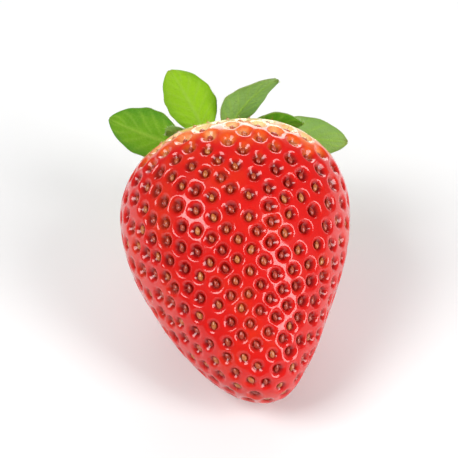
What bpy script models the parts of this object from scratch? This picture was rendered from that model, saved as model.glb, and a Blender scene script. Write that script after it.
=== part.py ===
"""A ripe strawberry lying on its side: the fleshy fruit, its calyx disc, five sepals and five bracts.

Everything is modelled with the fruit upright, calyx at the top (+Z) and tip at the bottom, and is
parented to one empty that lays the fruit down with its tip towards -Y. The world origin is the
centre of the small flat spot that the fruit rests on.
"""

import math

import bmesh
import bpy
from mathutils import Matrix, Vector

MM = 0.001

# Fruit
FRUIT_RADIUS = 18.0 * MM
FRUIT_LENGTH = 45.6 * MM
FRUIT_DEPTH_SHARE = 0.95  # front-to-back size as a share of the width
EGG_BASE = 0.94  # ring radius is sin(t) * (EGG_BASE + EGG_TAPER * cos(t) + the two ends' fullness)
EGG_TAPER = 0.39
SHOULDER_FULLNESS = 0.28
TIP_FULLNESS = 0.17
FULLNESS_POWER = 8  # how closely the fullness keeps to the two ends
SHOULDER_TILT = 0.08  # rise of the right shoulder over the left, per metre of width
WAIST_HEIGHT_SHARE = 0.36  # where along the length the middle line is furthest left
TIP_BOW = 4.2 * MM  # how far the tip stands to the right of the waist
TOP_BOW = 0.6 * MM  # how far the top stands to the right of the waist
LOBE_SHARE = 0.012  # unevenness of the rings
DISH_DEPTH = 1.8 * MM
DISH_RADIUS = 5.5 * MM
FRUIT_SEGMENTS = 48
FRUIT_RINGS = 36

# How it lies
LIE_TILT = math.radians(19.0)  # the middle line slopes down to the tip by this much
FLAT_DEPTH = 0.5 * MM  # how much of the round side is pressed flat
LOWEST_STEPS = 240

# Calyx
CALYX_X = -3.3 * MM
CALYX_TILT = math.radians(-11.0)
PIECE_GAP = 0.3 * MM
DISC_RADIUS = 3.3 * MM
DISC_THICKNESS = 1.3 * MM
DISC_STEPS = 28
SCAR_RADIUS = 1.3 * MM
SCAR_DEPTH = 0.9 * MM
LEAF_THICKNESS = 0.4 * MM
LEAF_CELLS_ALONG = 9
LEAF_CELLS_ACROSS = 4
SEPAL_ROOT_SHARE = 0.28  # width at the root over the greatest width
BRACT_ROOT_SHARE = 0.34
LEAF_TIP_SHARE = 0.10
LEAF_BROAD_POWER = 1.05  # above 1 the leaf is broadest beyond its middle
LEAF_ROUND_POWER = 0.8  # lower is fuller towards both ends
LEAF_CUP = 0.22  # how far the edges stand above the midrib, over the half width

# name, azimuth, length, width, height of the root, rise there, curl to the tip, sideways sway, twist
# (degrees and millimetres; azimuth 270 is the upper side of the lying fruit)
LEAVES = (
    ("sepal_1", 182, 14.8, 8.4, 1.1, 26, 20, -0.10, 44),
    ("sepal_2", 244, 11.3, 8.0, 1.1, 58, 16, -0.14, 4),
    ("sepal_3", 334, 12.4, 6.4, 0.5, 8, -32, 0.0, 0),
    ("sepal_4", 46, 13.5, 7.6, 0.5, 22, -30, 0.04, -6),
    ("sepal_5", 110, 14.0, 7.8, 0.5, 24, 26, -0.05, 6),
    ("bract_1", 218, 7.5, 3.4, 0.5, 18, -24, 0.06, 0),
    ("bract_2", 304, 11.5, 5.8, 1.1, 44, -34, 0.36, 4),
    ("bract_3", 4, 17.0, 6.4, 1.1, 2, -20, 0.0, -48),
    ("bract_4", 77, 11.0, 4.6, 1.1, 50, 20, -0.05, -12),
    ("bract_5", 147, 9.5, 4.6, 0.5, 16, -14, 0.0, 0),
)


def ring_radius(angle):
    """Radius of the fruit at an angle from the calyx end (0) to the tip (pi)."""
    nearness = (1 + math.cos(angle)) / 2
    fullness = SHOULDER_FULLNESS * nearness**FULLNESS_POWER
    fullness += TIP_FULLNESS * (1 - nearness) ** FULLNESS_POWER
    taper = EGG_BASE + EGG_TAPER * math.cos(angle) + fullness
    return FRUIT_RADIUS * math.sin(angle) * taper


def middle_line_x(height_share):
    """Sideways place of the middle line, from the calyx end (0) to the tip (1)."""
    if height_share < WAIST_HEIGHT_SHARE:
        return TOP_BOW * (1 - height_share / WAIST_HEIGHT_SHARE) ** 2
    below = (height_share - WAIST_HEIGHT_SHARE) / (1 - WAIST_HEIGHT_SHARE)
    return TIP_BOW * below**2


def fruit_point(angle, turn):
    """A point of the upright fruit's skin."""
    lobes = math.sin(angle) ** 2 * (math.cos(3 * turn + 0.6) + 0.7 * math.cos(5 * turn + 2.1))
    radius = ring_radius(angle) * (1 + LOBE_SHARE * lobes)
    x = radius * math.cos(turn)
    y = radius * math.sin(turn) * FRUIT_DEPTH_SHARE
    height_share = (1 - math.cos(angle)) / 2
    z = -FRUIT_LENGTH * height_share
    if angle < math.pi / 2:
        z += SHOULDER_TILT * x * math.cos(angle) ** 2
        from_calyx = math.hypot(x - CALYX_X, y) / DISH_RADIUS
        z -= DISH_DEPTH * math.exp(-(from_calyx**2))
    return Vector((x + middle_line_x(height_share), y, z))


def calyx_centre():
    """The lowest point of the dish, in the upright fruit."""
    slope_drop = (CALYX_X / FRUIT_RADIUS) ** 2 * FRUIT_LENGTH / (8 * EGG_BASE)
    z = SHOULDER_TILT * CALYX_X - DISH_DEPTH - slope_drop
    return Vector((CALYX_X + TOP_BOW, 0.0, z))


def lie_matrix():
    """Turns the upright fruit down onto its side and puts the flat spot's centre on the origin."""
    turn = Matrix.Rotation(LIE_TILT - math.pi / 2, 4, "X")
    lowest = Vector((0.0, 0.0, 1.0))
    for i in range(1, LOWEST_STEPS):
        for j in range(LOWEST_STEPS):
            angle = math.pi * i / LOWEST_STEPS
            point = turn @ fruit_point(angle, 2 * math.pi * j / LOWEST_STEPS)
            if point.z < lowest.z:
                lowest = point
    return Matrix.Translation((-lowest.x, -lowest.y, -lowest.z - FLAT_DEPTH)) @ turn


def plain_material(name, colour, roughness):
    material = bpy.data.materials.new(name)
    material.use_nodes = True
    shader = material.node_tree.nodes["Principled BSDF"]
    shader.inputs["Base Color"].default_value = (*colour, 1.0)
    shader.inputs["Roughness"].default_value = roughness
    shader.inputs["Metallic"].default_value = 0.0
    return material


def new_collection(name):
    collection = bpy.data.collections.new(name)
    bpy.context.scene.collection.children.link(collection)
    return collection


def new_piece(name, shape, collection, material, parent):
    """A mesh object from a bmesh, smooth shaded, under its parent."""
    mesh = bpy.data.meshes.new(name)
    shape.to_mesh(mesh)
    shape.free()
    mesh.materials.append(material)
    mesh.shade_smooth()
    piece = bpy.data.objects.new(name, mesh)
    piece.parent = parent
    collection.objects.link(piece)
    return piece


def new_empty(name, collection, matrix, parent=None):
    empty = bpy.data.objects.new(name, None)
    empty.parent = parent
    empty.matrix_basis = matrix
    collection.objects.link(empty)
    return empty


def table_cutter(collection):
    """A block whose top is the surface that the fruit lies on."""
    block = bmesh.new()
    bmesh.ops.create_cube(block, size=1.0)
    material = plain_material("cutter", (0.5, 0.5, 0.5), 0.5)
    cutter = new_piece("table_cutter", block, collection, material, None)
    cutter.scale = (3 * FRUIT_RADIUS, 2 * FRUIT_LENGTH, FRUIT_RADIUS)
    cutter.location = (0.0, 0.0, -FRUIT_RADIUS / 2)
    cutter.hide_render = True
    cutter.display_type = "WIRE"
    return cutter


def make_fruit(collection, lying, cutter):
    skin = bmesh.new()
    bmesh.ops.create_uvsphere(skin, u_segments=FRUIT_SEGMENTS, v_segments=FRUIT_RINGS, radius=1.0)
    for vertex in skin.verts:
        angle = math.acos(max(-1.0, min(1.0, vertex.co.z)))
        vertex.co = fruit_point(angle, math.atan2(vertex.co.y, vertex.co.x))
    material = plain_material("red_flesh", (0.66, 0.025, 0.018), 0.3)
    fruit = new_piece("fruit", skin, collection, material, lying)
    flat = fruit.modifiers.new("flat_spot", "BOOLEAN")
    flat.operation = "DIFFERENCE"
    flat.solver = "EXACT"
    flat.object = cutter
    return fruit


def make_calyx_disc(collection, calyx):
    """A low button with a hollow scar in the middle, where the stem came away."""
    rim = DISC_RADIUS
    outline = (
        (0.0, DISC_THICKNESS - SCAR_DEPTH),
        (0.8 * SCAR_RADIUS, DISC_THICKNESS - 0.9 * SCAR_DEPTH),
        (SCAR_RADIUS, DISC_THICKNESS - 0.1 * SCAR_DEPTH),
        (1.25 * SCAR_RADIUS, DISC_THICKNESS),
        (0.62 * rim, 0.9 * DISC_THICKNESS),
        (0.92 * rim, 0.75 * DISC_THICKNESS),
        (rim, 0.55 * DISC_THICKNESS),
        (0.95 * rim, 0.3 * DISC_THICKNESS),
        (0.5 * rim, 0.08 * DISC_THICKNESS),
        (0.0, 0.0),
    )
    profile = bmesh.new()
    points = [profile.verts.new((x, 0.0, z)) for x, z in outline]
    for upper, lower in zip(points, points[1:]):
        profile.edges.new((upper, lower))
    material = plain_material("calyx_green", (0.30, 0.38, 0.06), 0.6)
    disc = new_piece("calyx_disc", profile, collection, material, calyx)
    disc.location = (0.0, 0.0, PIECE_GAP)
    turned = disc.modifiers.new("turned", "SCREW")
    turned.steps = DISC_STEPS
    turned.render_steps = DISC_STEPS
    turned.use_merge_vertices = True
    turned.merge_threshold = 0.00001
    turned.use_normal_calculate = True
    return disc


def leaf_half_width(along, root_share):
    """Half width over the greatest half width: a narrow root, a broad middle and a pointed tip."""
    broad = math.sin(math.pi * along**LEAF_BROAD_POWER) ** LEAF_ROUND_POWER if 0 < along < 1 else 0.0
    ends = root_share * (1 - along) ** 2 + LEAF_TIP_SHARE * along**4
    return max(broad, ends)


def leaf_point(along, across, leaf, root_share):
    """A point of a leaf that grows from its own origin along +X, with +Z on its stem side."""
    length, width, _, rise, curl, sway, twist = leaf[2:]
    start = math.radians(rise)
    bend = math.radians(curl)
    pitch = start + bend * along
    middle = Vector((math.sin(pitch) - math.sin(start), 0.0, math.cos(start) - math.cos(pitch)))
    middle *= length * MM / bend
    middle.y = sway * length * MM * along**2
    half_width = width / 2 * MM * leaf_half_width(along, root_share)
    turn = Matrix.Rotation(math.radians(twist) * (2 - along) * along, 3, (math.cos(pitch), 0.0, math.sin(pitch)))
    side = turn @ Vector((0.0, 1.0, 0.0))
    up = turn @ Vector((-math.sin(pitch), 0.0, math.cos(pitch)))
    return middle + half_width * (across * side + LEAF_CUP * across**2 * up)


def make_leaf(leaf, collection, calyx):
    """One sepal or bract: a bent and cupped sheet, thickened, rooted beside the disc's rim."""
    name, azimuth, _, _, root_height = leaf[:5]
    is_sepal = name.startswith("sepal")
    root_share = SEPAL_ROOT_SHARE if is_sepal else BRACT_ROOT_SHARE
    sheet = bmesh.new()
    bmesh.ops.create_grid(sheet, x_segments=LEAF_CELLS_ALONG, y_segments=LEAF_CELLS_ACROSS, size=1.0)
    for vertex in sheet.verts:
        vertex.co = leaf_point((vertex.co.x + 1) / 2, vertex.co.y, leaf, root_share)
    green = (0.16, 0.34, 0.03) if is_sepal else (0.20, 0.36, 0.06)
    piece = new_piece(name, sheet, collection, plain_material(name + "_green", green, 0.55), calyx)
    turn = math.radians(azimuth)
    root = DISC_RADIUS + PIECE_GAP
    piece.location = (root * math.cos(turn), root * math.sin(turn), PIECE_GAP + root_height * MM)
    piece.rotation_euler = (0.0, 0.0, turn)
    thick = piece.modifiers.new("thickness", "SOLIDIFY")
    thick.thickness = LEAF_THICKNESS
    thick.offset = 0.0
    return piece


def main():
    for old in list(bpy.data.objects):
        bpy.data.objects.remove(old, do_unlink=True)
    strawberry = new_collection("strawberry")
    cutters = new_collection("cutters")
    lying = new_empty("lying", strawberry, lie_matrix())
    calyx_frame = Matrix.Translation(calyx_centre()) @ Matrix.Rotation(CALYX_TILT, 4, "Y")
    calyx = new_empty("calyx", strawberry, calyx_frame, lying)
    make_fruit(strawberry, lying, table_cutter(cutters))
    make_calyx_disc(strawberry, calyx)
    for leaf in LEAVES:
        make_leaf(leaf, strawberry, calyx)


main()
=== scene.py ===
"""Looks of a ripe strawberry lying on its side: dimpled flesh, seeds, calyx disc, sepals and bracts."""

import math

import bmesh
import bpy
import numpy as np
from bpy.props import FloatProperty, FloatVectorProperty, IntProperty, PointerProperty
from mathutils import Matrix, Vector, kdtree
from mathutils.bvhtree import BVHTree


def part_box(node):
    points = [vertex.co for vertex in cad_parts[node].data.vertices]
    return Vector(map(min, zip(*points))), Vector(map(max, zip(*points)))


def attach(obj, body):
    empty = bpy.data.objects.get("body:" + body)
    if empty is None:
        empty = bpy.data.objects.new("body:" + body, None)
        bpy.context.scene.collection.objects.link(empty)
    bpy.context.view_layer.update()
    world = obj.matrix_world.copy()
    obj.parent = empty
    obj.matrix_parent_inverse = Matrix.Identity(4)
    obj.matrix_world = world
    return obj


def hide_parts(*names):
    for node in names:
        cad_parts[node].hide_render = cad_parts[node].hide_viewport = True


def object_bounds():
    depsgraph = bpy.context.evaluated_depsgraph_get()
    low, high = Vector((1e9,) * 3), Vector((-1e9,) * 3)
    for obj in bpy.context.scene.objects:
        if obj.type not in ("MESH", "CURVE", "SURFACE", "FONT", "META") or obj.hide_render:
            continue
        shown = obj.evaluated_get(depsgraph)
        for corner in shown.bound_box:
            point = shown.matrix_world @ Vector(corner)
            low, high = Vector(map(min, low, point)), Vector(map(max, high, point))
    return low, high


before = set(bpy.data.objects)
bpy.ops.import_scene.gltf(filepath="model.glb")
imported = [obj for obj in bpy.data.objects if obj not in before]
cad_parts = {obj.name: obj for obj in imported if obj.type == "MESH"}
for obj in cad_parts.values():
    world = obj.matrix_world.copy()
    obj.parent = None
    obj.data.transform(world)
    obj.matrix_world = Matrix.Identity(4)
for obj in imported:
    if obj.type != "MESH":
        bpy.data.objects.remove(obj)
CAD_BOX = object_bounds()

bl_info = {
    "name": "Lying strawberry",
    "version": (1, 0, 0),
    "blender": (4, 5, 0),
    "location": "View3D > Sidebar > Strawberry",
    "description": "Builds the flesh, seeds and calyx of a strawberry around its packed solids",
    "category": "Add Mesh",
}

MM = 0.001
GOLDEN_TURN = math.pi * (3 - math.sqrt(5))

# name, azimuth, length, width, height of the root, rise there, curl to the tip, sideways sway, twist
# (degrees and millimetres, as the solids were made), then how ruffled it is, the tip's notch and its shade
LEAVES = (
    ("sepal_1", 182, 16.4, 8.6, 1.1, 26, 20, -0.10, 44, 0.5, 0.0, 0.3),
    ("sepal_2", 244, 13.0, 8.2, 1.1, 58, 16, -0.14, 4, 0.6, 0.0, 1.0),
    ("sepal_3", 334, 12.4, 6.4, 0.5, 8, -32, 0.0, 0, 0.4, 0.0, 0.1),
    ("sepal_4", 46, 13.5, 7.6, 0.5, 22, -30, 0.04, -6, 0.7, 0.0, 0.5),
    ("sepal_5", 110, 14.0, 7.8, 0.75, 24, 26, -0.05, 6, 0.6, 0.0, 0.6),
    ("bract_1", 218, 7.5, 3.4, 0.65, 18, -24, 0.06, 0, 0.4, 0.0, 0.3),
    ("bract_2", 304, 11.8, 6.8, 1.1, 44, -34, 0.36, 4, 0.5, 0.0, 0.6),
    ("bract_3", 4, 19.0, 7.2, 1.4, 2, -20, 0.0, -48, 0.4, 0.0, 0.5),
    ("bract_4", 77, 11.0, 4.6, 1.45, 50, 20, -0.05, -12, 0.5, 0.0, 0.4),
    ("bract_5", 147, 9.5, 4.6, 0.75, 16, -14, 0.0, 0, 0.4, 0.0, 0.7),
)
PIECE_GAP = 0.3 * MM
ROOT_SHARES = {"sepal": 0.28, "bract": 0.34}


class FleshSettings(bpy.types.PropertyGroup):
    cells: IntProperty(name="Skin cells", description="Cells along each side of the skin's cage", default=126)
    smoothing: IntProperty(name="Smoothing", description="Passes that even out the solid's facets", default=90)
    spacing: FloatProperty(name="Seed spacing", description="Distance between seeds at the waist",
                           default=3.75 * MM, unit="LENGTH", precision=5)
    tip_spacing: FloatProperty(name="Tip spacing", description="Seed spacing at the tip over that at the waist",
                               default=0.78, subtype="FACTOR")
    depth: FloatProperty(name="Dimple depth", description="Depth of the dimple round each seed",
                         default=0.78 * MM, unit="LENGTH", precision=5)
    ridge_lift: FloatProperty(name="Ridge lift", description="How far the ridges stand over the plain solid",
                              default=0.14 * MM, unit="LENGTH", precision=5)
    lumpiness: FloatProperty(name="Lumpiness", description="How far soft swellings stand out",
                             default=0.1 * MM, unit="LENGTH", precision=5)
    pale_shift: FloatProperty(name="Pale shift", description="How far right of the calyx the pale shoulder lies",
                              default=2.6 * MM, unit="LENGTH", precision=5)
    red: FloatVectorProperty(name="Red", description="Ripe skin on the ridges", subtype="COLOR",
                             default=(0.60, 0.005, 0.003))
    # Painted shade: a darker red laid into the dimples, where shade falls, not a colour of the skin itself
    dimple_shade_red: FloatVectorProperty(name="Deep red", description="Skin inside the dimples", subtype="COLOR",
                                  default=(0.24, 0.001, 0.001))
    orange: FloatVectorProperty(name="Orange", description="Half ripe skin below the shoulder", subtype="COLOR",
                                default=(0.82, 0.13, 0.012))
    cream: FloatVectorProperty(name="Cream", description="Pale skin beside the calyx", subtype="COLOR",
                               default=(0.93, 0.72, 0.33))


class SeedSettings(bpy.types.PropertyGroup):
    length: FloatProperty(name="Length", description="Length of a seed", default=1.3 * MM, unit="LENGTH",
                          precision=5)
    width: FloatProperty(name="Width", description="Width of a seed", default=0.85 * MM, unit="LENGTH", precision=5)
    thickness: FloatProperty(name="Thickness", description="Thickness of a seed", default=0.62 * MM, unit="LENGTH",
                             precision=5)
    style_length: FloatProperty(name="Thread length", description="Length of the dried thread on a seed",
                                default=1.0 * MM, unit="LENGTH", precision=5)
    style_width: FloatProperty(name="Thread width", description="Thickness of the thread where it leaves the seed",
                               default=0.11 * MM, unit="LENGTH", precision=5)
    gold: FloatVectorProperty(name="Gold", description="The palest seeds", subtype="COLOR",
                              default=(0.62, 0.27, 0.05))
    rust: FloatVectorProperty(name="Rust", description="The reddest seeds", subtype="COLOR",
                              default=(0.40, 0.035, 0.012))


class LeafSettings(bpy.types.PropertyGroup):
    thickness: FloatProperty(name="Thickness", description="Thickness of a leaf", default=0.3 * MM, unit="LENGTH",
                             precision=5)
    vein_relief: FloatProperty(name="Vein relief", description="Depth of the grooves over the veins",
                               default=0.13 * MM, unit="LENGTH", precision=5)
    hair_length: FloatProperty(name="Hair length", description="Length of the hairs on a leaf's margin",
                               default=0.6 * MM, unit="LENGTH", precision=5)
    green: FloatVectorProperty(name="Green", description="The darkest sepals", subtype="COLOR",
                               default=(0.075, 0.26, 0.006))
    yellow_green: FloatVectorProperty(name="Yellow green", description="The brightest sepals", subtype="COLOR",
                                      default=(0.31, 0.56, 0.006))
    dull_green: FloatVectorProperty(name="Dull green", description="The darkest bracts", subtype="COLOR",
                                    default=(0.19, 0.33, 0.08))
    light_green: FloatVectorProperty(name="Light green", description="Veins and the root of a leaf", subtype="COLOR",
                                     default=(0.36, 0.56, 0.06))
    back_green: FloatVectorProperty(name="Back green", description="The hairy side of a leaf", subtype="COLOR",
                                    default=(0.34, 0.50, 0.17))
    dry: FloatVectorProperty(name="Dry edge", description="Dried rim and tips", subtype="COLOR",
                             default=(0.42, 0.30, 0.08))


class StageSettings(bpy.types.PropertyGroup):
    elevation: FloatProperty(name="Camera elevation", description="How far the camera looks down",
                             default=math.radians(43.0), subtype="ANGLE")
    lens: FloatProperty(name="Lens", description="Focal length in millimetres", default=100.0)
    fill: FloatProperty(name="Fill", description="Share of the picture's height that the strawberry takes",
                        default=0.86, subtype="FACTOR")
    key_watts: FloatProperty(name="Key light", description="Power of the left softbox", default=1.75)
    strip_watts: FloatProperty(name="Strip light", description="Power of the tall right softbox", default=1.75)
    back_watts: FloatProperty(name="Back light", description="Power of the softbox behind the calyx", default=1.6)
    world_light: FloatProperty(name="Room light", description="Strength of the white surroundings", default=0.2)


class StrawberrySettings(bpy.types.PropertyGroup):
    flesh: PointerProperty(type=FleshSettings)
    seeds: PointerProperty(type=SeedSettings)
    leaves: PointerProperty(type=LeafSettings)
    stage: PointerProperty(type=StageSettings)


class Signal:
    """A number in a shader, on which Python arithmetic adds Math nodes."""

    def __init__(self, tree, socket):
        self.tree = tree
        self.socket = socket

    def math(self, operation, *others):
        node = self.tree.nodes.new("ShaderNodeMath")
        node.operation = operation
        for slot, value in zip(node.inputs, others):
            if isinstance(value, Signal):
                self.tree.links.new(value.socket, slot)
            else:
                slot.default_value = value
        return Signal(self.tree, node.outputs[0])

    def __add__(self, other):
        return self.math("ADD", self, other)

    def __sub__(self, other):
        return self.math("SUBTRACT", self, other)

    def __rsub__(self, other):
        return self.math("SUBTRACT", other, self)

    def __mul__(self, other):
        return self.math("MULTIPLY", self, other)

    def __truediv__(self, other):
        return self.math("DIVIDE", self, other)

    def __pow__(self, other):
        return self.math("POWER", self, other)

    __radd__ = __add__
    __rmul__ = __mul__

    def clamped(self):
        return self.math("MINIMUM", self.math("MAXIMUM", self, 0.0), 1.0)


class Shader:
    """A material and its node tree."""

    def __init__(self, name):
        self.material = bpy.data.materials.new(name)
        self.material.use_nodes = True
        self.tree = self.material.node_tree
        self.tree.nodes.clear()

    def add(self, kind, settings=None, output=0, **sockets):
        """Adds a node: its settings first, then values or links for its sockets, by name or as iN by place."""
        node = self.tree.nodes.new("ShaderNode" + kind)
        for key, value in (settings or {}).items():
            setattr(node, key, value)
        for key, value in sockets.items():
            is_place = key[0] == "i" and key[1:].isdigit()
            slot = node.inputs[int(key[1:])] if is_place else node.inputs[key.replace("_", " ")]
            if isinstance(value, Signal):
                self.tree.links.new(value.socket, slot)
            elif slot.type == "RGBA":
                slot.default_value = (*value[:3], 1.0)
            else:
                slot.default_value = value
        return Signal(self.tree, node.outputs[output])

    def attribute(self, name):
        return self.add("Attribute", {"attribute_name": name, "attribute_type": "GEOMETRY"}, output=2)

    def place(self):
        """The object's own coordinates, in metres."""
        return self.add("TexCoord", output=3)

    def noise(self, vector, size, detail=3.0, roughness=0.5):
        """Noise around 0.5 whose features are about this large, in metres."""
        return self.add("TexNoise", Vector=vector, Scale=1 / size, Detail=detail, Roughness=roughness)

    def stretch(self, value, low, high):
        """0 at low and 1 at high, smooth between and flat outside."""
        settings = {"interpolation_type": "SMOOTHSTEP"}
        return self.add("MapRange", settings, Value=value, From_Min=low, From_Max=high)

    def blend(self, share, first, second):
        """A colour between two colours."""
        return self.add("Mix", {"data_type": "RGBA"}, output=2, i0=share, i6=first, i7=second)

    def bump(self, height, distance, strength=1.0, normal=None):
        sockets = {"Height": height, "Distance": distance, "Strength": strength}
        if normal:
            sockets["Normal"] = normal
        return self.add("Bump", **sockets)

    def finish(self, surface):
        output = self.tree.nodes.new("ShaderNodeOutputMaterial")
        self.tree.links.new(surface.socket, output.inputs["Surface"])
        return self.material


def settings():
    return bpy.context.scene.strawberry


def smoothstep(value, low, high):
    share = np.clip((value - low) / (high - low), 0.0, 1.0)
    return share * share * (3 - 2 * share)


def points_of(mesh):
    points = np.empty(len(mesh.vertices) * 3)
    mesh.vertices.foreach_get("co", points)
    return points.reshape(-1, 3)


def set_points(mesh, points):
    mesh.vertices.foreach_set("co", np.asarray(points, np.float32).ravel())
    mesh.update()


def normals_of(mesh):
    normals = np.empty(len(mesh.vertices) * 3)
    mesh.vertex_normals.foreach_get("vector", normals)
    return normals.reshape(-1, 3)


def set_attribute(mesh, name, values):
    attribute = mesh.attributes.new(name, "FLOAT", "POINT")
    attribute.data.foreach_set("value", np.asarray(values, np.float32))


def attribute_of(mesh, name):
    values = np.empty(len(mesh.vertices), np.float32)
    mesh.attributes[name].data.foreach_get("value", values)
    return values


def edges_of(mesh):
    ends = np.empty(len(mesh.edges) * 2, np.int32)
    mesh.edges.foreach_get("vertices", ends)
    return ends.reshape(-1, 2)


def relaxed(values, edges, passes):
    """Each value moved to the mean of its neighbours, several times. Values are one column or more."""
    values = values.reshape(len(values), -1).copy()
    ends = np.concatenate([edges[:, 0], edges[:, 1]])
    others = np.concatenate([edges[:, 1], edges[:, 0]])
    degree = np.bincount(ends, minlength=len(values))
    for _ in range(passes):
        for column in range(values.shape[1]):
            sums = np.bincount(ends, weights=values[others, column], minlength=len(values))
            values[:, column] = 0.5 * values[:, column] + 0.5 * sums / degree
    return values


def new_piece(name, mesh, material, slot, *nodes):
    """A finished piece: smooth shaded, riding on the root body and standing for its solids."""
    mesh.name = name
    mesh.materials.clear()
    mesh.materials.append(material)
    mesh.shade_smooth()
    piece = bpy.data.objects.new(name, mesh)
    bpy.context.scene.collection.objects.link(piece)
    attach(piece, "root")
    if nodes:
        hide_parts(*nodes)
    return piece


def calyx_matrix():
    """The calyx's own axes in the world: +Z along the stem, +X to the right, the origin under the disc."""
    points = points_of(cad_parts["calyx_disc"].data)
    middle = points.mean(axis=0)
    spread = np.linalg.svd(points - middle, full_matrices=False)[2]
    up = spread[2] if spread[2][1] > 0 else -spread[2]
    right = np.array((1.0, 0.0, 0.0)) - up[0] * up
    right /= np.linalg.norm(right)
    away = np.cross(up, right)
    foot = middle + up * (((points - middle) @ up).min() - PIECE_GAP)
    matrix = Matrix([(*row, place) for row, place in zip(np.stack([right, away, up], axis=1), foot)])
    matrix.resize_4x4()
    return matrix


def disc_size():
    """Radius and thickness of the calyx disc."""
    local = points_of(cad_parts["calyx_disc"].data) @ np.array(calyx_matrix().to_3x3())
    local -= local.mean(axis=0)
    return np.hypot(local[:, 0], local[:, 1]).max(), np.ptp(local[:, 2])


class Skin:
    """The fruit's plain form as a fine even mesh, and the places of its seeds."""

    def __init__(self, flesh):
        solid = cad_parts["fruit"].data
        tree = BVHTree.FromPolygons([v.co for v in solid.vertices], [p.vertices for p in solid.polygons])
        low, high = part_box("fruit")
        self.centre = (Vector(low) + Vector(high)) / 2
        self.calyx = np.array(calyx_matrix().translation)
        tip = max(solid.vertices, key=lambda v: (v.co - Vector(self.calyx)).length).co
        self.axis = np.array((Vector(self.calyx) - tip).normalized())
        self.mesh = self.cage(flesh.cells)
        directions = points_of(self.mesh)
        centre = np.array(self.centre)
        found = [tree.ray_cast(self.centre, Vector(d))[0] for d in directions]
        self.edges = edges_of(self.mesh)
        self.points = relaxed(np.array(found), self.edges, flesh.smoothing)
        self.points += directions * self.lumps(flesh)[:, None]
        self.points[:, 2] = np.maximum(self.points[:, 2], 0.0)
        set_points(self.mesh, self.points)
        self.normals = normals_of(self.mesh)
        self.polar = np.arccos(np.clip(self.turned(self.points - centre)[:, 2], -1, 1))
        self.seeds = self.seed_places(flesh)

    def lumps(self, flesh):
        """Soft uneven swellings, a few seeds across."""
        chance = np.random.default_rng(8)
        height = np.zeros(len(self.points))
        for _ in range(7):
            way = chance.normal(size=3)
            way /= np.linalg.norm(way)
            wave = chance.uniform(6.0, 12.0) * MM
            height += np.sin(2 * math.pi * (self.points @ way / wave + chance.random()))
        return flesh.lumpiness * height / math.sqrt(7)

    def cage(self, cells):
        """A cube's faces cut into even cells and blown up to a ball."""
        ball = bmesh.new()
        bmesh.ops.create_cube(ball, size=2.0)
        bmesh.ops.subdivide_edges(ball, edges=ball.edges[:], cuts=cells - 1, use_grid_fill=True)
        mesh = bpy.data.meshes.new("flesh")
        ball.to_mesh(mesh)
        ball.free()
        points = np.tan(points_of(mesh) * math.pi / 4)
        set_points(mesh, points / np.linalg.norm(points, axis=1)[:, None])
        return mesh

    def turned(self, vectors):
        """Unit vectors in the fruit's own axes, with +Z towards the calyx."""
        right = np.array((1.0, 0.0, 0.0)) - self.axis[0] * self.axis
        right /= np.linalg.norm(right)
        away = np.cross(self.axis, right)
        local = vectors @ np.stack([right, away, self.axis], axis=1)
        return local / np.linalg.norm(local, axis=1)[:, None]

    def spacing(self, flesh, polar):
        """Distance between seeds at these angles from the calyx."""
        return flesh.spacing * (1 - (1 - flesh.tip_spacing) * smoothstep(polar, 0.35 * math.pi, 0.95 * math.pi))

    def seed_places(self, flesh):
        """A golden spiral from the calyx to the tip, closer together towards the tip."""
        self.mesh.calc_loop_triangles()
        tris = np.empty(len(self.mesh.loop_triangles) * 3, np.int32)
        self.mesh.loop_triangles.foreach_get("vertices", tris)
        corners = self.points[tris.reshape(-1, 3)]
        cross = np.cross(corners[:, 1] - corners[:, 0], corners[:, 2] - corners[:, 0])
        area = np.linalg.norm(cross, axis=1) / 2
        polar = self.polar[tris.reshape(-1, 3)].mean(axis=1)
        wanted = area / (0.866 * self.spacing(flesh, polar) ** 2)
        order = np.argsort(polar)
        total = np.cumsum(wanted[order])
        tree = BVHTree.FromPolygons([Vector(p) for p in self.points], [p.vertices for p in self.mesh.polygons])
        right = np.array((1.0, 0.0, 0.0)) - self.axis[0] * self.axis
        right /= np.linalg.norm(right)
        away = np.cross(self.axis, right)
        chance = np.random.default_rng(11)
        seeds = []
        for i in range(int(total[-1])):
            angle = np.interp(i + 0.5, total, polar[order])
            turn = i * GOLDEN_TURN + 0.045 * chance.normal()
            angle += 0.02 * chance.normal()
            flat = math.cos(turn) * right + math.sin(turn) * away
            direction = math.cos(angle) * self.axis + math.sin(angle) * flat
            place, normal, _, _ = tree.ray_cast(self.centre, Vector(direction))
            if np.linalg.norm(np.array(place) - self.calyx) > 7.2 * MM:
                seeds.append((place, normal, chance.random()))
        return self.evened(seeds, tree)

    def evened(self, seeds, tree):
        """The seeds moved to the middle of the skin that is nearest to each."""
        for _ in range(3):
            near = kdtree.KDTree(len(seeds))
            for i, (place, _, _) in enumerate(seeds):
                near.insert(place, i)
            near.balance()
            owner = np.array([near.find(point)[1] for point in self.points[::4]])
            count = np.bincount(owner, minlength=len(seeds))
            middles = [np.bincount(owner, weights=self.points[::4, k], minlength=len(seeds)) / count for k in range(3)]
            moved = []
            for i, (place, normal, chance) in enumerate(seeds):
                middle = Vector([column[i] for column in middles])
                if np.linalg.norm(np.array(place) - self.calyx) > 9.5 * MM:
                    place, normal, _, _ = tree.find_nearest(place.lerp(middle, 0.6))
                moved.append((place, normal, chance))
            seeds = moved
        return seeds


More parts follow.
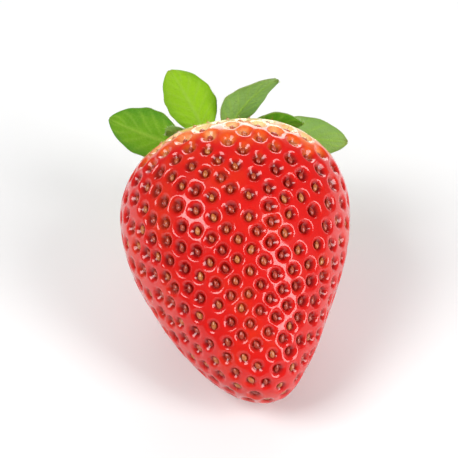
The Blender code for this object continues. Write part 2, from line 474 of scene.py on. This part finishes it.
class STRAWBERRY_OT_flesh(bpy.types.Operator):
    """Make the red flesh, with a dimple round each seed and ridges between them"""

    bl_idname = "strawberry.flesh"
    bl_label = "Flesh"

    def execute(self, context):
        flesh = settings().flesh
        skin = Skin(flesh)
        near = kdtree.KDTree(len(skin.seeds))
        for i, (place, _, _) in enumerate(skin.seeds):
            near.insert(place, i)
        near.balance()
        pairs = [near.find_n(point, 2) for point in skin.points]
        nearest = np.array([pair[0][2] for pair in pairs])
        second = np.array([pair[1][2] for pair in pairs])
        owner = np.array([pair[0][1] for pair in pairs])
        chance = np.array([seed[2] for seed in skin.seeds])[owner]
        spacing = skin.spacing(flesh, skin.polar)
        from_calyx = np.linalg.norm(skin.points - skin.calyx, axis=1)
        ripe = ripeness(from_calyx)
        rim = np.minimum(0.365 + 0.07 * chance, 0.5 * (nearest + second) / spacing) * spacing
        well = 1 - smoothstep(nearest, 0.11 * spacing, rim)
        height = flesh.ridge_lift * ripe - flesh.depth * well_depth(chance, ripe) * well
        height = relaxed(height, skin.edges, 1)[:, 0]
        points = skin.points + skin.normals * height[:, None]
        points[:, 2] = np.maximum(points[:, 2], 0.01 * MM)
        set_points(skin.mesh, points)
        set_attribute(skin.mesh, "well", np.clip(well, 0, 1))
        pale_middle = skin.calyx + np.array((flesh.pale_shift, 0.0, 0.0))
        set_attribute(skin.mesh, "from_pale", np.linalg.norm(skin.points - pale_middle, axis=1) / MM)
        set_attribute(skin.mesh, "tone", chance)
        new_piece("flesh", skin.mesh, flesh_material(flesh), "red_flesh", "fruit")
        self.sow(skin, flesh)
        return {"FINISHED"}

    def sow(self, skin, flesh):
        """Keeps each seed's place for the seed operator: its bed, the way out and a number from 0 to 1."""
        beds = []
        for place, normal, chance in skin.seeds:
            ripe = float(ripeness(np.linalg.norm(np.array(place) - skin.calyx)))
            sunk = flesh.depth * well_depth(chance, ripe) - flesh.ridge_lift * ripe
            beds.append((place - normal * sunk, normal, chance * ripe))
        SEED_BEDS.clear()
        SEED_BEDS.extend(beds)
        SEED_AXIS[:] = skin.axis


SEED_BEDS = []
SEED_AXIS = [0.0, 1.0, 0.0]


def ripeness(from_calyx):
    """0 on the smooth pale shoulder and 1 on the dimpled red skin."""
    return smoothstep(from_calyx, 9.5 * MM, 18.0 * MM)


def well_depth(chance, ripe):
    """Depth of a seed's dimple over the usual depth."""
    return (0.85 + 0.3 * chance) * (0.22 + 0.78 * ripe)


def flesh_material(flesh):
    shader = Shader("ripe_flesh")
    place = shader.place()
    well = shader.attribute("well")
    far = shader.attribute("from_pale")
    blotch = shader.noise(place, 7 * MM, 2.0)
    streak = shader.noise(place, 1.3 * MM, 3.0)
    far = far + 5.0 * (blotch - 0.5) + 2.0 * (streak - 0.5) - 1.6 * well
    # Painted shade: the red darkens towards the bottom of each dimple, standing in for the shade there
    red = shader.blend(shader.stretch(well, 0.12, 0.9), flesh.red, flesh.dimple_shade_red)
    warm = shader.blend(shader.stretch(blotch, 0.45, 0.8) * 0.14, red, flesh.orange)
    shoulder = shader.blend(shader.stretch(far, 15.6, 18.8), flesh.orange, warm)
    colour = shader.blend(shader.stretch(far, 13.4, 17.0), flesh.cream, shoulder)
    cells = shader.add("TexVoronoi", {"feature": "SMOOTH_F1"}, Vector=place, Scale=1 / (0.28 * MM), Smoothness=0.6)
    pores = shader.noise(place, 0.5 * MM, 3.0, 0.6)
    normal = shader.bump(cells * 0.5 + pores, 0.03 * MM, 0.6)
    surface = shader.add(
        "BsdfPrincipled", Base_Color=colour, Roughness=0.32 + 0.10 * streak, Normal=normal,
        Subsurface_Weight=0.15, Subsurface_Radius=(1.0, 0.10, 0.05), Subsurface_Scale=1.2 * MM,
        Coat_Weight=0.85, Coat_Roughness=0.09, Specular_IOR_Level=0.08)
    return shader.finish(surface)


class STRAWBERRY_OT_seeds(bpy.types.Operator):
    """Make the seeds, one sunk in each dimple with its point towards the calyx"""

    bl_idname = "strawberry.seeds"
    bl_label = "Seeds"

    def execute(self, context):
        seeds = settings().seeds
        grain = bmesh.new()
        bmesh.ops.create_uvsphere(grain, u_segments=12, v_segments=9, radius=1.0)
        template = bpy.data.meshes.new("seed")
        grain.to_mesh(template)
        grain.free()
        ball = points_of(template)
        taper = 1 - 0.42 * np.clip(ball[:, 2] + 0.15, 0, 2) ** 1.6
        form = np.stack([ball[:, 2] * seeds.length, ball[:, 0] * seeds.width * taper,
                         ball[:, 1] * seeds.thickness * taper], axis=1) / 2
        faces = [list(polygon.vertices) for polygon in template.polygons]
        bpy.data.meshes.remove(template)
        chance = np.random.default_rng(5)
        points, polygons, tones = [], [], []
        for place, normal, tone in SEED_BEDS:
            out = Vector(normal)
            towards = Vector(SEED_AXIS)
            towards = (towards - towards.dot(out) * out).normalized()
            side = out.cross(towards)
            swing = 0.22 * chance.normal()
            along = math.cos(swing) * towards + math.sin(swing) * side
            side = out.cross(along)
            size = 0.88 + 0.22 * chance.random()
            axes = np.array([along, side, out])
            start = len(points) * len(form)
            points.append(np.array(place + out * 0.14 * MM) + size * form @ axes)
            polygons.extend([[start + v for v in face] for face in faces])
            tones.append(np.full(len(form), tone))
        mesh = bpy.data.meshes.new("seeds")
        points = np.concatenate(points)
        points[:, 2] = np.maximum(points[:, 2], 0.0)
        mesh.from_pydata(points.tolist(), [], polygons)
        set_attribute(mesh, "tone", np.concatenate(tones))
        new_piece("seeds", mesh, seed_material(seeds), "red_flesh")
        self.add_styles(seeds, chance)
        return {"FINISHED"}

    def add_styles(self, seeds, chance):
        """The dried thread that stays on most seeds, bent over the rim of the dimple."""
        sides, steps = 5, 6
        points, polygons, tones = [], [], []
        for place, normal, tone in SEED_BEDS:
            if place.z < seeds.style_length + 0.5 * MM:
                continue
            turn = 2 * math.pi * chance.random()
            reach = seeds.style_length * (0.6 + 0.6 * chance.random())
            out = Vector(normal)
            side = out.orthogonal().normalized()
            lean = math.cos(turn) * side + math.sin(turn) * out.cross(side)
            across = out.cross(lean)
            start = len(points)
            for step in range(steps + 1):
                share = step / steps
                middle = place + out * (0.30 * MM + 0.62 * reach * share) + lean * reach * 0.8 * share**2
                radius = seeds.style_width / 2 * (1 - 0.75 * share)
                for k in range(sides):
                    angle = 2 * math.pi * k / sides
                    points.append(middle + radius * (math.cos(angle) * across + math.sin(angle) * lean))
            for step in range(steps):
                for k in range(sides):
                    low, high = start + step * sides, start + (step + 1) * sides
                    turned = (k + 1) % sides
                    polygons.append([low + k, low + turned, high + turned, high + k])
            polygons.append([start + k for k in reversed(range(sides))])
            polygons.append([start + steps * sides + k for k in range(sides)])
            tones.extend([0.3 + 0.7 * tone] * (sides * (steps + 1)))
        mesh = bpy.data.meshes.new("seed_threads")
        mesh.from_pydata([tuple(point) for point in points], [], polygons)
        set_attribute(mesh, "tone", tones)
        new_piece("seed_threads", mesh, seed_material(seeds), "red_flesh")


def seed_material(seeds):
    shader = Shader("seed_husk")
    place = shader.place()
    tone = shader.attribute("tone")
    grain = shader.noise(place, 0.25 * MM, 3.0)
    share = (tone * 0.9 + 0.45 + 0.6 * (grain - 0.5)).clamped()
    colour = shader.blend(share, seeds.gold, seeds.rust)
    surface = shader.add(
        "BsdfPrincipled", Base_Color=colour, Roughness=0.32 + 0.2 * grain,
        Normal=shader.bump(grain, 0.03 * MM, 0.5), Coat_Weight=0.5, Coat_Roughness=0.1)
    return shader.finish(surface)


def leaf_outline(along, root_share):
    """Half width of a leaf over its greatest half width: broadest past the middle, with a round tip."""
    broad = np.maximum(np.sin(np.pi * along**1.2), 0.0) ** 0.62
    return np.maximum(broad, root_share * (1 - along) ** 2 + 0.05 * along**4)


def leaf_sheet(leaf, settings_, matrix):
    """The grid of one leaf in the world, its along and across places and its vein strength."""
    name, azimuth, length, width, root_height, rise, curl, sway, twist, ruffle, notch, shade = leaf
    along_cells, across_cells = 72, 36
    grid = bmesh.new()
    bmesh.ops.create_grid(grid, x_segments=along_cells, y_segments=across_cells, size=1.0)
    mesh = bpy.data.meshes.new(name)
    grid.to_mesh(mesh)
    grid.free()
    flat = points_of(mesh)
    along = (flat[:, 0] + 1) / 2
    across = flat[:, 1]
    chance = np.random.default_rng(azimuth)
    root_share = ROOT_SHARES[name[:5]]
    half = width / 2 * leaf_outline(along, root_share)
    teeth = 0.02 * np.abs(across) ** 6 * np.sin(along * 31 + 3 * chance.random() * np.sign(across))
    half *= 1 + teeth * smoothstep(along, 0.25, 0.5)
    reach = 1 - notch * np.exp(-((across + 0.1) / 0.45) ** 2) * smoothstep(along, 0.55, 1.0)
    run = along * reach
    start, bend = math.radians(rise), math.radians(curl)
    pitch = start + bend * run
    middle = np.stack([np.sin(pitch) - math.sin(start), 0 * pitch, math.cos(start) - np.cos(pitch)], axis=1)
    middle *= length / bend
    middle[:, 1] = sway * length * run**2
    turn = math.radians(twist) * (2 - run) * run
    ahead = np.stack([np.cos(pitch), 0 * pitch, np.sin(pitch)], axis=1)
    level = np.stack([0 * pitch, 1 + 0 * pitch, 0 * pitch], axis=1)
    stem_side = np.stack([-np.sin(pitch), 0 * pitch, np.cos(pitch)], axis=1)
    cos, sin = np.cos(turn)[:, None], np.sin(turn)[:, None]
    side = cos * level + sin * stem_side
    up = cos * stem_side - sin * level
    wave = 2 * math.pi * chance.random()
    ruffles = 0.7 * ruffle * across**2 * np.sin(9 * along + wave + 1.7 * across)
    rib, veins = vein_strength(along, across)
    lift = half * 0.22 * across**2 + ruffles - settings_.vein_relief / MM * np.maximum(rib, veins)
    local = middle + (half * across)[:, None] * side + lift[:, None] * up
    angle = math.radians(azimuth)
    radius = disc_size()[0]
    height = PIECE_GAP + root_height * MM
    seat = Matrix.Translation((radius * math.cos(angle), radius * math.sin(angle), height))
    world = np.array(matrix @ seat @ Matrix.Rotation(angle, 4, "Z"))
    set_points(mesh, (local * MM) @ world[:3, :3].T + world[:3, 3])
    set_attribute(mesh, "along", along)
    set_attribute(mesh, "across", across)
    set_attribute(mesh, "rib", rib)
    set_attribute(mesh, "vein", veins)
    set_attribute(mesh, "shade", np.full(len(along), shade))
    return mesh


def vein_strength(along, across):
    """The midrib, and the side veins that leave it towards the tip: 1 on them and 0 beside them."""
    rib = np.exp(-((across / (0.10 - 0.05 * along)) ** 2)) * (1 - 0.4 * along)
    slant = (along - 0.34 * np.abs(across) ** 0.8) * 6.5 + 0.25 * np.sign(across)
    side = np.exp(-(((slant - np.round(slant)) / 0.13) ** 2))
    side *= smoothstep(np.abs(across), 0.02, 0.2) * (1 - smoothstep(np.abs(across), 0.7, 1.0))
    return rib, 0.6 * side


class STRAWBERRY_OT_leaves(bpy.types.Operator):
    """Make the sepals and bracts round the calyx disc, with veins, ruffled edges and short hairs"""

    bl_idname = "strawberry.leaves"
    bl_label = "Leaves"

    def execute(self, context):
        leaves = settings().leaves
        matrix = calyx_matrix()
        materials = {
            "sepal": leaf_material("sepal_leaf", leaves, leaves.green, leaves.yellow_green),
            "bract": leaf_material("bract_leaf", leaves, leaves.dull_green, leaves.back_green),
        }
        hairs = []
        for leaf in LEAVES:
            name = leaf[0]
            mesh = leaf_sheet(leaf, leaves, matrix)
            piece = new_piece(name + "_leaf", mesh, materials[name[:5]], name[:5] + "_green", name)
            thick = piece.modifiers.new("thickness", "SOLIDIFY")
            thick.thickness = leaves.thickness
            thick.offset = 0.0
            self.comb(mesh, leaves, hairs)
        self.add_hairs(hairs)
        return {"FINISHED"}

    def comb(self, mesh, leaves, hairs):
        """Adds the hairs of one leaf's two margins: where each starts, its way and its length."""
        points = points_of(mesh)
        along, across = attribute_of(mesh, "along"), attribute_of(mesh, "across")
        columns = np.unique(np.round(across, 4))
        chance = np.random.default_rng(len(hairs))
        for margin, inner in ((columns[-1], columns[-3]), (columns[0], columns[2])):
            outer_rows = np.flatnonzero(np.abs(across - margin) < 1e-3)
            inner_rows = np.flatnonzero(np.abs(across - inner) < 1e-3)
            outer_rows = outer_rows[np.argsort(along[outer_rows])][6:]
            inner_rows = inner_rows[np.argsort(along[inner_rows])][6:]
            ahead = np.gradient(points[outer_rows], axis=0)
            ways = points[outer_rows] - points[inner_rows]
            ways /= np.linalg.norm(ways, axis=1)[:, None] + 1e-9
            ways += 0.7 * ahead / (np.linalg.norm(ahead, axis=1)[:, None] + 1e-9)
            ways += 0.3 * chance.normal(size=ways.shape)
            for start, way in zip(points[outer_rows], ways):
                hairs.append((Vector(start), Vector(way).normalized(), leaves.hair_length * chance.uniform(0.5, 1.2)))

    def add_hairs(self, hairs):
        """Every hair as a slim three-sided spike."""
        points, polygons = [], []
        for place, way, length in hairs:
            side = way.orthogonal().normalized()
            other = way.cross(side)
            first = len(points)
            for k in range(3):
                angle = 2 * math.pi * k / 3
                points.append(place + 0.03 * MM * (math.cos(angle) * side + math.sin(angle) * other) - way * 0.1 * MM)
            points.append(place + way * length)
            polygons += [[first + 2, first + 1, first]]
            polygons += [[first + k, first + (k + 1) % 3, first + 3] for k in range(3)]
        mesh = bpy.data.meshes.new("leaf_hairs")
        mesh.from_pydata([tuple(point) for point in points], [], polygons)
        new_piece("leaf_hairs", mesh, hair_material(), "sepal_green")


def hair_material():
    shader = Shader("silky_hair")
    grain = shader.noise(shader.place(), 1.5 * MM, 2.0)
    colour = shader.blend(grain, (0.42, 0.55, 0.22), (0.78, 0.82, 0.55))
    surface = shader.add("BsdfPrincipled", Base_Color=colour, Roughness=0.35 + 0.2 * grain)
    return shader.finish(surface)


def leaf_material(name, leaves, dark, light):
    shader = Shader(name)
    shade = shader.attribute("shade")
    place = shader.place()
    along = shader.attribute("along")
    across = shader.attribute("across")
    vein = shader.attribute("vein")
    blotch = shader.noise(place, 4 * MM, 3.0)
    fine = shader.noise(place, 0.45 * MM, 4.0, 0.6)
    edge = across.math("ABSOLUTE", across)
    root = 1 - shader.stretch(along, 0.0, 0.35)
    shadow = 0.35 * shader.stretch(edge, 0.5, 1.0)
    base = shader.blend((shade + 0.9 * (blotch - 0.5) - shadow).clamped(), dark, light)
    net = shader.add("TexVoronoi", {"feature": "DISTANCE_TO_EDGE"}, Vector=place, Scale=1 / (0.75 * MM))
    meshwork = 1 - shader.stretch(net, 0.0, 0.14)
    pale = shader.attribute("rib") * 0.85 + vein * 0.6 + root * 0.35 + meshwork * 0.16 + 0.3 * (fine - 0.5)
    veined = shader.blend(pale.clamped(), base, leaves.light_green)
    rim = shader.stretch(edge + 0.12 * (fine - 0.5), 0.93, 1.02)
    tip = shader.stretch(along + 0.2 * (blotch - 0.5), 0.97, 1.05)
    colour = shader.blend((rim * 0.3 + tip * 0.3).clamped(), veined, leaves.dry)
    cells = shader.add("TexVoronoi", {"feature": "F1"}, Vector=place, Scale=1 / (0.22 * MM))
    normal = shader.bump(fine + 0.5 * cells - meshwork, 0.06 * MM, 0.8)
    surface = shader.add(
        "BsdfPrincipled", Base_Color=colour, Roughness=0.58 + 0.14 * fine, Normal=normal,
        Sheen_Weight=0.08, Sheen_Roughness=0.4, Specular_IOR_Level=0.25)
    glow = shader.add("BsdfTranslucent", Color=(0.42, 0.74, 0.03))
    both = shader.add("MixShader", i0=0.3, i1=surface, i2=glow)
    return shader.finish(both)


class STRAWBERRY_OT_calyx_disc(bpy.types.Operator):
    """Make the button in the middle of the calyx, with the hollow scar where the stem came away"""

    bl_idname = "strawberry.calyx_disc"
    bl_label = "Calyx disc"

    def execute(self, context):
        leaves = settings().leaves
        radius, thickness = disc_size()
        outline = ((0.0, 0.30), (0.20, 0.32), (0.30, 0.45), (0.36, 0.80), (0.42, 1.0), (0.50, 1.02), (0.62, 0.90),
                   (0.78, 0.86), (0.95, 0.80), (1.06, 0.60), (1.04, 0.36), (0.90, 0.18), (0.5, 0.04), (0.0, 0.0))
        turns, steps = 120, 6
        shares = np.linspace(0, len(outline) - 1, (len(outline) - 1) * steps + 1)
        across = np.interp(shares, range(len(outline)), [p[0] for p in outline]) * radius
        height = np.interp(shares, range(len(outline)), [p[1] for p in outline]) * thickness
        for _ in range(6):
            across[1:-1] = (across[:-2] + 2 * across[1:-1] + across[2:]) / 4
            height[1:-1] = (height[:-2] + 2 * height[1:-1] + height[2:]) / 4
        sheet = bmesh.new()
        matrix = calyx_matrix()
        profile = [sheet.verts.new((x, 0.0, z + PIECE_GAP)) for x, z in zip(across, height)]
        for upper, lower in zip(profile, profile[1:]):
            sheet.edges.new((upper, lower))
        bmesh.ops.spin(sheet, geom=sheet.verts[:] + sheet.edges[:], cent=(0, 0, 0), axis=(0, 0, 1),
                       angle=2 * math.pi, steps=turns, use_merge=True)
        bmesh.ops.remove_doubles(sheet, verts=sheet.verts[:], dist=0.001 * MM)
        bmesh.ops.recalc_face_normals(sheet, faces=sheet.faces[:])
        mesh = bpy.data.meshes.new("calyx_button")
        sheet.to_mesh(mesh)
        sheet.free()
        points = points_of(mesh)
        turn = np.arctan2(points[:, 1], points[:, 0])
        out = np.hypot(points[:, 0], points[:, 1]) / radius
        lumps = 0.04 * np.sin(10 * turn + 0.4) + 0.03 * np.sin(7 * turn + 2.0) + 0.02 * np.sin(17 * turn)
        points[:, :2] *= (1 + lumps * smoothstep(out, 0.1, 0.9))[:, None]
        points[:, 2] += 0.10 * MM * np.sin(10 * turn) * smoothstep(out, 0.3, 0.9) * (1 - smoothstep(out, 0.95, 1.1))
        world = np.array(matrix)
        set_points(mesh, points @ world[:3, :3].T + world[:3, 3])
        set_attribute(mesh, "out", out)
        new_piece("calyx_button", mesh, disc_material(leaves), "calyx_green", "calyx_disc")
        return {"FINISHED"}


def disc_material(leaves):
    shader = Shader("calyx_disc_skin")
    place = shader.place()
    out = shader.attribute("out")
    fine = shader.noise(place, 0.5 * MM, 4.0, 0.6)
    skin = shader.blend(shader.stretch(out + 0.3 * (fine - 0.5), 0.45, 1.0), (0.50, 0.56, 0.16), leaves.light_green)
    scar = shader.blend(shader.stretch(fine, 0.3, 0.7), (0.16, 0.12, 0.03), (0.34, 0.24, 0.08))
    colour = shader.blend(shader.stretch(out + 0.12 * (fine - 0.5), 0.26, 0.42), scar, skin)
    normal = shader.bump(fine, 0.12 * MM, 0.7)
    surface = shader.add("BsdfPrincipled", Base_Color=colour, Roughness=0.6 + 0.1 * fine, Normal=normal,
                         Sheen_Weight=0.15, Subsurface_Weight=0.1, Subsurface_Radius=(0.4, 0.6, 0.1),
                         Subsurface_Scale=1.0 * MM)
    return shader.finish(surface)


def look_at(source, target):
    return (Vector(target) - Vector(source)).to_track_quat("-Z", "Y").to_euler()


def camera_axes(elevation):
    """Right, up and back of a camera that looks along +Y and down."""
    right = Vector((1.0, 0.0, 0.0))
    up = Vector((0.0, math.sin(elevation), math.cos(elevation)))
    back = Vector((0.0, -math.cos(elevation), math.sin(elevation)))
    return right, up, back


class STRAWBERRY_OT_stage(bpy.types.Operator):
    """Set out the floor, the white surroundings, the softboxes and the camera"""

    bl_idname = "strawberry.stage"
    bl_label = "Stage"

    def execute(self, context):
        stage = settings().stage
        self.add_floor()
        self.add_world(stage)
        low, high = CAD_BOX
        middle = (Vector(low) + Vector(high)) / 2
        right, up, back = camera_axes(stage.elevation)
        self.add_camera(stage, low, high, middle, right, up, back)
        self.add_softbox("left_softbox", stage.key_watts, (0.25, 0.25), 0.45, (-41, 19), middle, (right, up, back))
        self.add_softbox("right_softbox", stage.strip_watts, (0.16, 0.42), 0.42, (50, 2), middle, (right, up, back))
        self.add_softbox("back_softbox", stage.back_watts, (0.40, 0.25), 0.5, (168, 58), middle, (right, up, back))
        context.scene.view_settings.view_transform = "Standard"
        return {"FINISHED"}

    def add_floor(self):
        sheet = bmesh.new()
        bmesh.ops.create_circle(sheet, cap_ends=True, segments=96, radius=2.5)
        mesh = bpy.data.meshes.new("floor")
        sheet.to_mesh(mesh)
        sheet.free()
        shader = Shader("floor_paper")
        grain = shader.noise(shader.place(), 1.5 * MM, 3.0)
        paper = shader.add("BsdfPrincipled", Base_Color=(0.82, 0.82, 0.82), Roughness=0.6,
                           Normal=shader.bump(grain, 0.02 * MM, 0.3), Specular_IOR_Level=0.1)
        far = shader.add("VectorMath", {"operation": "LENGTH"}, output=1, i0=shader.place())
        sweep = shader.add("Emission", Color=(1.0, 1.0, 1.0), Strength=1.0)
        both = shader.add("MixShader", i0=shader.stretch(far, 0.05, 0.22), i1=paper, i2=sweep)
        mesh.materials.append(shader.finish(both))
        floor = bpy.data.objects.new("floor", mesh)
        bpy.context.scene.collection.objects.link(floor)

    def add_world(self, stage):
        world = bpy.data.worlds.new("white_room")
        world.use_nodes = True
        tree = world.node_tree
        room = tree.nodes["Background"]
        room.inputs["Color"].default_value = (1.0, 1.0, 1.0, 1.0)
        room.inputs["Strength"].default_value = stage.world_light
        backdrop = tree.nodes.new("ShaderNodeBackground")
        backdrop.inputs["Color"].default_value = (1.0, 1.0, 1.0, 1.0)
        seen = tree.nodes.new("ShaderNodeLightPath").outputs["Is Camera Ray"]
        mix = tree.nodes.new("ShaderNodeMixShader")
        tree.links.new(seen, mix.inputs[0])
        tree.links.new(room.outputs[0], mix.inputs[1])
        tree.links.new(backdrop.outputs[0], mix.inputs[2])
        tree.links.new(mix.outputs[0], tree.nodes["World Output"].inputs["Surface"])
        bpy.context.scene.world = world

    def add_camera(self, stage, low, high, middle, right, up, back):
        corners = [Vector((x, y, z)) for x in (low[0], high[0]) for y in (low[1], high[1]) for z in (low[2], high[2])]
        tall = max(c.dot(up) for c in corners) - min(c.dot(up) for c in corners)
        data = bpy.data.cameras.new("camera")
        data.lens = stage.lens
        data.clip_start = 0.01
        data.clip_end = 10.0
        camera = bpy.data.objects.new("camera", data)
        distance = tall / stage.fill / 2 / math.tan(data.angle / 2)
        camera.location = middle + back * distance
        camera.rotation_euler = look_at(camera.location, middle)
        bpy.context.scene.collection.objects.link(camera)
        bpy.context.scene.camera = camera

    def add_softbox(self, name, watts, sides, distance, angles, target, axes):
        """An area light: its angles are degrees to the right of and above the line to the camera."""
        right, up, back = axes
        turn, climb = (math.radians(a) for a in angles)
        way = math.cos(climb) * (math.sin(turn) * right + math.cos(turn) * back) + math.sin(climb) * up
        data = bpy.data.lights.new(name, "AREA")
        data.shape = "RECTANGLE"
        data.size, data.size_y = sides
        data.energy = watts
        light = bpy.data.objects.new(name, data)
        light.location = target + way * distance
        light.rotation_euler = look_at(light.location, target)
        bpy.context.scene.collection.objects.link(light)


class STRAWBERRY_PT_panel(bpy.types.Panel):
    bl_idname = "STRAWBERRY_PT_panel"
    bl_label = "Strawberry"
    bl_space_type = "VIEW_3D"
    bl_region_type = "UI"
    bl_category = "Strawberry"

    def draw(self, context):
        for name, operators in PANEL_ROWS:
            box = self.layout.box()
            group = getattr(context.scene.strawberry, name)
            for key in group.__annotations__:
                box.prop(group, key)
            for operator in operators:
                box.operator(operator)


PANEL_ROWS = (
    ("flesh", ("strawberry.flesh",)),
    ("seeds", ("strawberry.seeds",)),
    ("leaves", ("strawberry.leaves", "strawberry.calyx_disc")),
    ("stage", ("strawberry.stage",)),
)
CLASSES = (
    FleshSettings, SeedSettings, LeafSettings, StageSettings, StrawberrySettings, STRAWBERRY_OT_flesh,
    STRAWBERRY_OT_seeds, STRAWBERRY_OT_leaves, STRAWBERRY_OT_calyx_disc, STRAWBERRY_OT_stage, STRAWBERRY_PT_panel,
)


def register():
    for cls in CLASSES:
        bpy.utils.register_class(cls)
    bpy.types.Scene.strawberry = PointerProperty(type=StrawberrySettings)


def unregister():
    del bpy.types.Scene.strawberry
    for cls in reversed(CLASSES):
        bpy.utils.unregister_class(cls)


def main():
    register()
    bpy.ops.strawberry.flesh()
    bpy.ops.strawberry.seeds()
    bpy.ops.strawberry.calyx_disc()
    bpy.ops.strawberry.leaves()
    bpy.ops.strawberry.stage()


if __name__ == "__main__":
    main()
